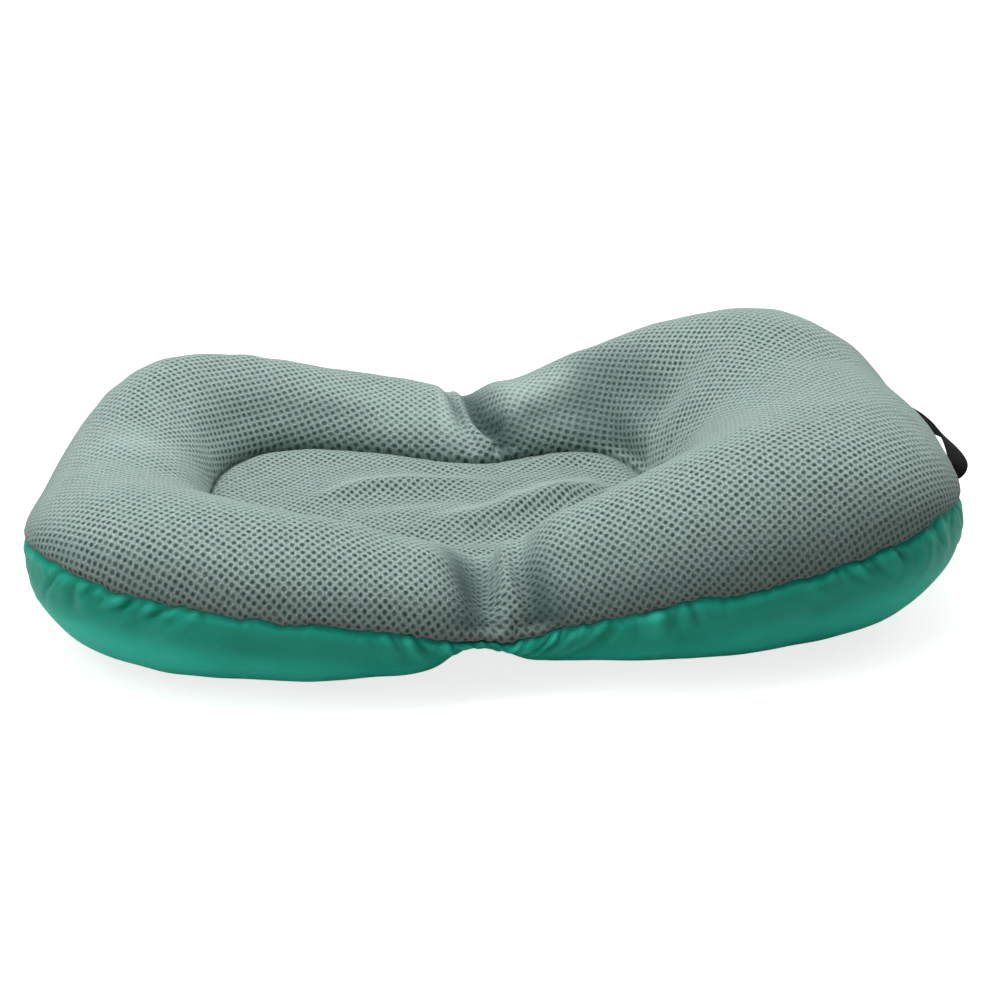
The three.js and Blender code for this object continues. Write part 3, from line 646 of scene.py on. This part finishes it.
def lay_flat():
    """The cover laid out flat with as little stretch as possible, so the knit keeps its size.

    Each pass turns every triangle to fit the layout, then solves once for all the points."""
    columns, rows, passes = 112, 21, 30
    shares = np.linspace(0, 1, rows)
    shares = shares - 0.30 * np.sin(TAU * shares) / TAU
    angle, share = np.meshgrid(np.linspace(0, TAU, columns, endpoint=False), shares)
    points = top_point(angle, share)
    climb = path_length(points)
    middle = np.array([np.interp(0.5, shares, climb[:, j]) for j in range(columns)])
    crest = top_point(angle[0], np.full(columns, 0.5))[:, :2]
    outward = points[0, :, :2] - points[-1, :, :2]
    outward /= np.linalg.norm(outward, axis=1, keepdims=True)
    start = (crest + outward * ((middle - climb) * 0.85)[..., None]).reshape(-1, 2)

    quads = np.array(ring_quads(rows, columns))
    triangles = np.concatenate([quads[:, [0, 1, 2]], quads[:, [0, 2, 3]]])
    shapes = plane_triangles(points.reshape(-1, 3)[triangles], start[triangles])
    after, last = [1, 2, 0], [2, 0, 1]       # the other two corners, seen from each corner
    ends, tails = triangles[:, after], triangles[:, last]
    edges = shapes[:, after] - shapes[:, last]
    one, other = shapes[:, after] - shapes, shapes[:, last] - shapes
    cotangent = (one * other).sum(-1) / np.maximum(np.abs(cross(one, other)), 1e-9)
    cotangent = np.maximum(cotangent, 0.05)

    system = np.zeros((len(start), len(start)))
    np.add.at(system, (ends, tails), -cotangent)
    np.add.at(system, (tails, ends), -cotangent)
    np.add.at(system, (ends, ends), cotangent)
    np.add.at(system, (tails, tails), cotangent)
    system[0] = 0                            # the first point stays put
    system[0, 0] = 1
    inverse = np.linalg.inv(system)
    layout = start
    for _ in range(passes):
        drawn = layout[ends] - layout[tails]
        turn = np.arctan2((cotangent * cross(edges, drawn)).sum(1),
                          (cotangent * (edges * drawn).sum(-1)).sum(1))[:, None]
        x, y = edges[..., 0], edges[..., 1]
        turned = np.stack([np.cos(turn) * x - np.sin(turn) * y,
                           np.sin(turn) * x + np.cos(turn) * y], -1)
        pull = cotangent[..., None] * turned
        target = np.zeros_like(start)
        np.add.at(target, ends, pull)
        np.add.at(target, tails, -pull)
        target[0] = start[0]
        layout = inverse @ target

    # up to the fine grid: periodic along the ring, cubic across it
    spectrum = np.fft.rfft(layout.reshape(rows, columns, 2), axis=1)
    wide = np.fft.irfft(spectrum, COLUMNS, axis=1) * (COLUMNS / columns)
    return cubic(wide, np.interp(SHARES, shares, np.arange(rows)))


def cover_relief():
    """How far the cover stands off its even shape (mm)"""
    # soft unevenness of the filling
    keep = ease(FROM_SEAM, 2, 40) * ease(FROM_WELL, 2, 34)
    relief = keep * (0.50 * waves(TOP, 80, seed=11) + 0.22 * waves(TOP, 30, seed=12))
    relief += FRONT_WAIST * creases(TOP_X, TOP_Y, FRONT_CREASES)
    relief += BACK_WAIST * creases(TOP_X, TOP_Y, BACK_CREASES)
    relief += ease(FROM_SEAM, 10, 30) * crease(TOP_X, TOP_Y, *HEAD_CORNER)
    relief += creases(TOP_X, TOP_Y, LOBE_RIDGES)
    for x0, y0, x1, y1, height in DRAG_LINES:
        line = [(x0, y0, height * 0.4), ((x0 + x1) / 2, (y0 + y1) / 2, height * 0.65),
                (x1, y1, 0.0)]
        relief += crease(TOP_X, TOP_Y, 3.6, 1.0, line)
    # the wall behind the well is drawn in on both sides of the waist, and swells at the head
    relief -= BACK_WALL * (3.0 * (1 - ease(TOP_X, -60, -26)) + 3.4 * band(TOP_X, 14, 34, 58, 84))
    relief += (4.5 * ease(TOP_Y, 26, 50) * band(TOP_X, 74, 90, 104, 122)
               * bell(FROM_WELL, 15, centre=24))
    relief *= ease(FROM_WELL, 0, 7)

    rng = np.random.default_rng(5)
    inner, outer = well_edge(ANGLES), seam(ANGLES)
    seam_run = path_length(outer)
    relief += puckers((path_length(inner), ring_length(inner), FROM_WELL), rng, 60,
                      width=(2.4, 5.0), reach=(7, 20), height=(0.15, 0.5))
    relief += puckers((seam_run, ring_length(outer), FROM_SEAM), rng, 90,
                      width=(2.5, 6.0), reach=(4, 12), height=(0.15, 0.45))
    # the thick fabric rolls over and is drawn into the outer seam
    relief += (0.6 * bell(FROM_SEAM, 2.6, centre=4.2) - 2.1 * bell(FROM_SEAM, 1.25, power=1.6)
               - SEAM_PINCH * bell(FROM_SEAM, 7.5, power=1.5)
               + 0.4 * bell(FROM_SEAM, 8, centre=15)
               + SCALLOP * np.cos(seam_run * TAU / SCALLOP_PITCH)
               * bell(FROM_SEAM, 1.6, centre=1.2))
    return relief


def cover_painted_light():
    """Painted light: where the knit is painted paler, behind the well and on the foot lobe"""
    wall = BACK_WALL * np.where(TOP_X < -30, 0.45, 1.35) * (1 - ease(TOP_X, 56, 84))
    wall *= 1 - 0.9 * bell(TOP_X, 17, centre=-2)
    foot = 0.85 * bell(TOP_X, 30, centre=-217) * bell(TOP_Y, 20, centre=9)
    return np.maximum(wall, foot)


def cover_painted_shade():
    """Painted shade: where the knit is painted darker"""
    dark = FRONT_WAIST * creases(TOP_X, TOP_Y, FRONT_SHADES)
    dark += BACK_WAIST * creases(TOP_X, TOP_Y, BACK_SHADES)
    # painted shade at the head end of the back wall, on the front of the head lobe, and at the
    # foot end of the well's back edge
    dark += (0.42 * band(FROM_WELL, 2, 10, 58, 92) * ease(TOP_Y, 34, 60)
             * band(TOP_X, 47, 64, 96, 118))
    dark += 0.32 * ease(TOP_X, 0, 70) * ease(-TOP_Y, 20, 70) * (1 - ease(FROM_SEAM, 18, 62))
    dark += 0.22 * bell(FROM_WELL, 15) * ease(TOP_Y, 12, 36) * (1 - ease(TOP_X, -30, 4))
    return np.clip(dark, 0, 1)


def build_cover():
    points = TOP + grid_normals(TOP) * cover_relief()[..., None]
    points[..., 2] += seam_shift(ANGLES, seam(ANGLES), FROM_SEAM, 15.0, 7.0)
    points[..., 2] -= 0.5 * bell(FROM_SEAM, 1.2)
    tuck = bell(FROM_WELL, 1.5)
    points[..., :2] += tuck[..., None] * well_outward(ANGLES) * WELL_TUCK_OUT
    points[..., 2] -= tuck * WELL_TUCK_DOWN
    # the relief attribute here carries the painted-light mask and the fold attribute the
    # painted-shade mask
    return make_mesh("mesh_cover", points.reshape(-1, 3), ring_quads(len(SHARES), COLUMNS),
                     cover_mesh, lay_flat().reshape(-1, 2),
                     seam_mm=FROM_SEAM, relief=cover_painted_light(), fold=cover_painted_shade())


# ------------------------------------------------------------------ well panel
PANEL_INSET = 0.4
PANEL_TUCK_OUT, PANEL_TUCK_DOWN = 2.4, 2.7
KNIT_TURN, KNIT_SCALE, KNIT_SHIFT = math.radians(-4.0), 1.04, 1.7
PANEL_CREASES = [
    # two long soft folds, level behind and dropping on their front side
    (7.5, 1.7, [(-120, -2, 0.0), (-106, 9, 2.6), (-94, 14, 4.2), (-78, 21, 5.2),
                (-58, 24, 5.2), (-33, 25, 4.2), (-12, 28, 2.4), (6, 32, 0.0)]),
    (8.0, 1.7, [(-52, -45, 0.0), (-38, -37, 2.6), (-24, -30, 4.2), (-4, -21, 5.6),
                (18, -7, 7.2), (40, 6, 7.8), (57, 16, 5.4), (74, 26, 0.0)]),
    # the hollows in front of them
    (10.0, 1.0, [(-98, -8, -0.5), (-70, 0, -1.8), (-44, 2, -2.0), (-18, 4, -0.5)]),
    (11.0, 1.0, [(-30, -52, -0.5), (6, -43, -2.0), (42, -22, -2.0), (62, -8, -0.5)])]


def panel_height(x, y, share, inward):
    """share is 0 at the pole and 1 at the edge, inward is mm in from the edge"""
    z = WELL_Z - WELL_TILT * x - 3.0 * (1 - share ** 8) + 6.0 * (1 - share * share) ** 1.3
    inside = ease(inward, 3, 24)
    plan = np.stack([x, y, np.zeros_like(x)], -1)
    z += inside * (0.5 * waves(plan, 70, seed=41) + 0.22 * waves(plan, 26, seed=42))
    # the pad stands up all round before it dives into the seam, most at the back and the head
    swell = 1.6 + 0.3 * ease(y, -20, 50) + 1.2 * ease(x, 20, 80) * ease(y, -20, 40)
    z += swell * bell(inward, 7.5, centre=11)
    return z + inside * creases(x, y, PANEL_CREASES)


def build_panel():
    columns = 560
    shares = np.unique(np.concatenate([np.linspace(0.02, 1, 62), [0.975, 0.985, 0.99, 0.995]]))
    share = shares[:, None]
    angles = np.linspace(0, TAU, columns, endpoint=False)
    edge, outward = well_edge(angles), well_outward(angles)
    edge_x, edge_y = (edge[:, :2] - outward * PANEL_INSET).T
    x = POLE_X + (edge_x - POLE_X) * share
    y = edge_y * share
    inward = np.array([
        np.sqrt(((row_x[:, None] - edge_x) ** 2 + (row_y[:, None] - edge_y) ** 2).min(1))
        for row_x, row_y in zip(x, y)])

    z = panel_height(x, y, share, inward)
    z += puckers((path_length(edge), ring_length(edge), inward), np.random.default_rng(8), 60,
                 width=(2.4, 5.0), reach=(8, 24), height=(0.15, 0.5))
    tuck = bell(inward, 2.0)
    rings = np.stack([x + tuck * outward[:, 0] * PANEL_TUCK_OUT,
                      y + tuck * outward[:, 1] * PANEL_TUCK_OUT, z - tuck * PANEL_TUCK_DOWN], -1)
    pole_z = panel_height(np.array([POLE_X]), np.array([0.0]), np.array([0.0]),
                          np.array([60.0]))[0]
    points = np.concatenate([rings.reshape(-1, 3), [[POLE_X, 0, pole_z]]])
    pole = len(points) - 1
    faces = ring_quads(len(shares), columns, flip=True)
    faces += [[pole, j, (j + 1) % columns] for j in range(columns)]

    plan = np.concatenate([np.stack([x, y], -1).reshape(-1, 2), [[POLE_X, 0]]])
    cosine, sine = math.cos(KNIT_TURN), math.sin(KNIT_TURN)
    cloth = plan @ np.array([[cosine, sine], [-sine, cosine]]) * KNIT_SCALE + KNIT_SHIFT
    # painted highlight: the knit is painted paler where the pad falls away to the back
    fall = (panel_height(x, y - 0.5, share, inward) - panel_height(x, y + 0.5, share, inward))
    painted_light = ease(fall, 0.02, 0.58) * ease(inward, 8, 26)
    return make_mesh("well_floor", points, faces, panel_mesh, cloth,
                     seam_mm=np.full(len(points), 60.0),         # clear of the seam's colouring
                     relief=np.append(painted_light.ravel(), 0.0), fold=np.zeros(len(points)))


# ------------------------------------------------------------------ lower shell
# Gathered stretches: (mm along the seam, spread, count, lean)
GATHERS = [
    (932, 17, 11, -0.75), (905, 10, 5, -0.6), (1085, 17, 8, 0.55), (1108, 9, 6, 0.6),
    (1128, 6, 4, 0.8), (1165, 10, 7, -0.75), (1188, 13, 7, -0.6), (1225, 20, 6, 0.1),
    (1352, 20, 9, 0.6), (1388, 14, 7, 0.7), (1430, 18, 5, 0.5), (700, 45, 16, 0.3),
    (560, 45, 12, -0.3), (420, 45, 16, 0.4), (300, 50, 12, -0.3), (150, 45, 14, 0.4),
    (60, 40, 3, -0.3), (800, 40, 9, 0.2), (385, 14, 8, -0.8), (352, 14, 8, 0.8)]


def shell_relief(angles, share, even, drop):
    """How far the shell stands off its even shape (mm)"""
    rim = seam(angles)
    # one length for both sides of the seam: that of the cover's grid
    line = (path_length(rim), ring_length(seam(ANGLES)), drop)
    rng = np.random.default_rng(21)
    fade = ease(drop, 1, 22) * (1 - ease(share, 0.6, 0.95))
    relief = fade * (0.45 * waves(even, 85, seed=51) + 0.16 * waves(even, 34, seed=52))
    relief += puckers(line, rng, 150, width=(1.4, 2.6), reach=(4, 12), height=(0.2, 0.65),
                      lean=0.35, crisp=True)
    relief += puckers(line, rng, 40, width=(3.0, 6.0), reach=(14, 30), height=(0.30, 0.80),
                      lean=0.35)
    for centre, spread, count, bias in GATHERS:
        place = dict(lean=0.22, bias=bias, near=(centre, spread))
        relief += puckers(line, rng, count, width=(1.5, 3.0), reach=(8, 22), height=(0.8, 2.0),
                          crisp=True, **place)
        relief += puckers(line, rng, max(2, count // 3), width=(2.4, 4.6), reach=(14, 34),
                          height=(0.8, 1.9), **place)

    def hump(centre, half):
        """Stretch of the ring about an angle, in degrees"""
        return bell(((np.degrees(angles) - centre) + 180) % 360 - 180, half)

    # smooth toward the ground, under the waist and at the front of the head lobe
    relief *= 1 - ease(share, 0.78, 1.0)
    relief *= 1 - 0.85 * bell(rim[:, 0], 30, centre=-20) * ease(share, 0.22, 0.55)
    relief *= 1 - 0.55 * hump(353, 20)
    relief += band(share, 0.12, 0.5, 0.86, 1.0) * (-2.1 * hump(328, 19) + 1.8 * hump(206, 16))
    relief += 3.2 * hump(348, 18) * ease(drop, 0, 18) * (1 - ease(share, 0.25, 0.75))
    return relief + (-2.0 * bell(drop, 1.3, power=1.5) + 0.5 * bell(drop, 3.0, centre=4.5)
                     - SEAM_PINCH * bell(drop, 6.5, power=1.5))


def build_shell():
    columns = 1280
    angles = np.linspace(0, TAU, columns, endpoint=False)
    shares = np.unique(np.concatenate([
        np.linspace(0, 1, 56) ** 1.35, [0.004, 0.010, 0.018, 0.028]]))
    angle, share = np.meshgrid(angles, shares)
    even = under_point(angle, share)
    drop = path_length(even)
    relief = shell_relief(angles, share, even, drop)
    side = even - grid_normals(even) * relief[..., None]
    side[..., 2] += seam_shift(angles, seam(angles), drop, 12.0, 6.0) + 1.2 * bell(drop, 1.0)

    # the underside closes in rings, settling onto the ground
    rings = np.linspace(1, 0.04, 13)[1:, None]
    base = side[-1] * np.stack([rings, rings, ease(rings, 0.45, 1.0)], -1)
    base[..., 2] = np.maximum(base[..., 2] + 0.5 * np.clip(waves(base, 60, seed=61), 0, 2), 0)
    side[..., 2] = np.maximum(side[..., 2], 0.0)
    grid = np.concatenate([side, base], 0)
    points = np.concatenate([grid.reshape(-1, 3), [[0, 0, 0]]])
    middle = len(points) - 1
    faces = ring_quads(len(grid), columns, flip=True)
    faces += [[middle, middle - columns + (j + 1) % columns, middle - columns + j]
              for j in range(columns)]

    # cloth laid out inward from the seam
    foot_radius = np.hypot(even[-1, :, 0], even[-1, :, 1])
    fall = np.concatenate([drop, drop[-1] + (1 - rings) * foot_radius], 0)
    rim = even[0, :, :2]
    outward = rim / np.linalg.norm(rim, axis=1, keepdims=True)
    cloth = (rim - outward * fall[..., None]).reshape(-1, 2)
    # the relief heights also drive the taffeta's painted highlights and painted shade
    return make_mesh("lower_shell", points, faces, teal_taffeta,
                     np.concatenate([cloth, [[0, 0]]]), seam_mm=np.append(fall, 300.0),
                     relief=np.append(relief, np.zeros(len(rings) * columns + 1)))


# ------------------------------------------------------------------ webbing loop
# Stations along the strap: x, y, z of its lower edge, then of its upper edge
LOOP = np.array([
    (273.4, -15.0, 62.0, 273.4, -3.0, 62.3), (281.0, -16.2, 63.2, 275.0, -7.4, 63.8),
    (287.4, -14.6, 65.8, 275.6, -9.4, 67.6), (288.2, -6.0, 68.4, 276.2, -4.4, 71.6),
    (286.4, 12.0, 69.2, 277.2, 8.6, 75.4), (281.4, 28.6, 69.2, 275.0, 26.4, 78.6),
    (277.0, 45.0, 66.0, 273.6, 43.6, 77.2), (273.4, 62.0, 63.6, 270.6, 61.0, 75.0),
    (269.0, 76.5, 63.0, 266.6, 71.6, 73.4), (263.6, 84.4, 64.6, 263.0, 75.0, 69.6),
    (259.4, 86.2, 66.0, 261.6, 74.8, 67.0)])
LOOP_STATIONS, LOOP_ACROSS = 150, 12
LOOP_WIDTH, LOOP_THICK = 12.0, 1.4
LOOP_EDGE, LOOP_THINNING = 0.86, 0.45        # edges thin by this much from here outward
LOOP_RIPPLE = 0.10
END_TUCKS = np.array([(-5.2, 0, -0.3), (-4.9, -1.5, 0)])     # into the seam, at both ends


def build_loop():
    edges = cubic(LOOP, np.linspace(0, 1, LOOP_STATIONS) * (len(LOOP) - 1))
    # stiff webbing takes no sharp bends
    taps = np.exp(-0.5 * (np.arange(-12, 13) / 4.5) ** 2)
    taps /= taps.sum()
    padded = np.concatenate([2 * edges[0] - edges[12:0:-1], edges,
                             2 * edges[-1] - edges[-2:-14:-1]])
    edges = np.stack([np.convolve(column, taps, "valid") for column in padded.T], -1)
    lower, upper = edges[:, :3], edges[:, 3:]

    centre = (lower + upper) / 2
    centre = np.concatenate([centre[:1] + END_TUCKS[0], centre, centre[-1:] + END_TUCKS[1]])
    across = upper - lower
    across = np.concatenate([across[:1], across, across[-1:]])
    along = np.gradient(centre, axis=0)
    along /= np.linalg.norm(along, axis=1, keepdims=True)
    across -= along * (across * along).sum(1, keepdims=True)
    across /= np.linalg.norm(across, axis=1, keepdims=True)
    normal = np.cross(along, across)
    run = path_length(centre)[:, None]

    # section: over one face from edge to edge and back over the other
    line = -1 + 2 * np.arange(LOOP_ACROSS + 1) / LOOP_ACROSS
    offset = np.concatenate([line, -line])
    face = np.repeat([1, -1], len(line))
    edge = np.maximum(0.0, np.abs(offset) - LOOP_EDGE) / (1 - LOOP_EDGE)
    ripple = LOOP_RIPPLE * np.sin(run * TAU / WEB_RIB) * (1 - edge)
    height = face * (LOOP_THICK / 2 * (1 - LOOP_THINNING * edge ** 2) + ripple)
    sideways = offset * LOOP_WIDTH / 2
    points = (centre[:, None] + across[:, None] * sideways[:, None]
              + normal[:, None] * height[..., None])
    cloth = np.stack(np.broadcast_arrays(sideways, run), -1)

    size = len(offset)
    faces = ring_quads(len(centre), size)
    faces.append(list(range(size))[::-1])
    faces.append([(len(centre) - 1) * size + k for k in range(size)])
    return make_mesh("webbing_loop", points.reshape(-1, 3), faces, black_webbing,
                     cloth.reshape(-1, 2))


# ------------------------------------------------------------------ pieces
cover = build_cover()
panel = build_panel()
shell = build_shell()
strap = build_loop()

for piece in (cover, panel, shell):
    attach(piece, "cushion")
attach(strap, "loop")
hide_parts("mesh_ring_cover", "well_seam_binding", "perimeter_seam_binding")
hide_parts("well_panel", "well_pad", "chamber_wall")
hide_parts("base_shell", "head_liner", "foot_liner", "head_fill", "foot_fill",
            "front_waist_baffle", "back_waist_baffle")
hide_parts("hang_loop")


# ------------------------------------------------------------------ floor, world, lights, camera
def build_floor(half=6, drop=0.0004):
    """Pale floor, which shows the camera a glow and a greyer colour than it gives the light"""
    net = Nodes("floor")
    seen = net.node("ShaderNodeLightPath", out="Is Camera Ray")
    net.surface(Base_Color=net.mix(seen, (0.75, 0.75, 0.75), (0.50, 0.50, 0.50)),
                Roughness=0.95, Specular_IOR_Level=0.1, Emission_Color=(1, 1, 1),
                Emission_Strength=net.mul(seen, 0.80))
    mesh = bpy.data.meshes.new("floor")
    corners = [(-half, -half, 0), (half, -half, 0), (half, half, 0), (-half, half, 0)]
    mesh.from_pydata(corners, [], [[0, 1, 2, 3]])
    mesh.materials.append(net.material)
    floor = link("floor", mesh)
    floor.location = (0, 0, -drop)
    return floor


def build_world(fill=0.03, backdrop=0.90):
    """White world: a pale backdrop to the camera, hardly any fill light"""
    world = bpy.data.worlds.new("studio")
    bpy.context.scene.world = world
    world.use_nodes = True
    tree = world.node_tree
    background = tree.nodes["Background"]
    background.inputs[0].default_value = (1, 1, 1, 1)
    seen = tree.nodes.new("ShaderNodeLightPath").outputs["Is Camera Ray"]
    strength = tree.nodes.new("ShaderNodeMapRange")
    strength.inputs["To Min"].default_value = fill
    strength.inputs["To Max"].default_value = backdrop
    tree.links.new(seen, strength.inputs["Value"])
    tree.links.new(strength.outputs["Result"], background.inputs["Strength"])


LIGHT_POWER, LIGHT_REACH = 30.0, 2.1         # watts at 1 m for weight 1; distance in m
LIGHT_TARGET = Vector((0, 0, 0.06))
LIGHTS = [                                   # name, azimuth, elevation, weight, size in m
    ("overhead", 118, 77, 0.300, 1.8),
    ("right_back", 25, 38, 0.112, 1.6),
    ("left_front", 208, 36, 0.072, 1.6),
    ("left_high", 200, 62, 0.120, 1.6)]


def soft_box(name, azimuth, elevation, weight, size):
    """Square light at this azimuth and elevation from the cushion, facing it"""
    turn, rise = math.radians(azimuth), math.radians(elevation)
    toward = Vector((math.cos(turn) * math.cos(rise), math.sin(turn) * math.cos(rise),
                     math.sin(rise)))
    place = toward * LIGHT_REACH + LIGHT_TARGET
    light = bpy.data.lights.new(name, "AREA")
    light.shape = "SQUARE"
    light.size = size
    light.energy = LIGHT_POWER * weight * LIGHT_REACH ** 2
    box = link(name, light)
    box.location = place
    box.rotation_euler = (LIGHT_TARGET - place).to_track_quat("-Z", "Y").to_euler()


def build_camera(azimuth=-4.873, elevation=25.218, distance=1.5032):
    """Camera in front of the cushion; azimuth is from -Y toward +X, distance in m"""
    turn, rise = math.radians(azimuth), math.radians(elevation)
    back = Vector((math.sin(turn) * math.cos(rise), -math.cos(turn) * math.cos(rise),
                   math.sin(rise)))
    data = bpy.data.cameras.new("camera")
    camera = link("camera", data)
    bpy.context.scene.camera = camera
    camera.location = Vector((0.001512, 0, 0.049985)) + back * distance
    camera.rotation_mode = "QUATERNION"
    camera.rotation_quaternion = (-back).to_track_quat("-Z", "Y")
    data.sensor_width = 36.0
    data.lens = 88.7148
    data.clip_start, data.clip_end = 0.05, 50


build_floor()
build_world()
for settings in LIGHTS:
    soft_box(*settings)
build_camera()
bpy.context.scene.view_settings.view_transform = "Standard"
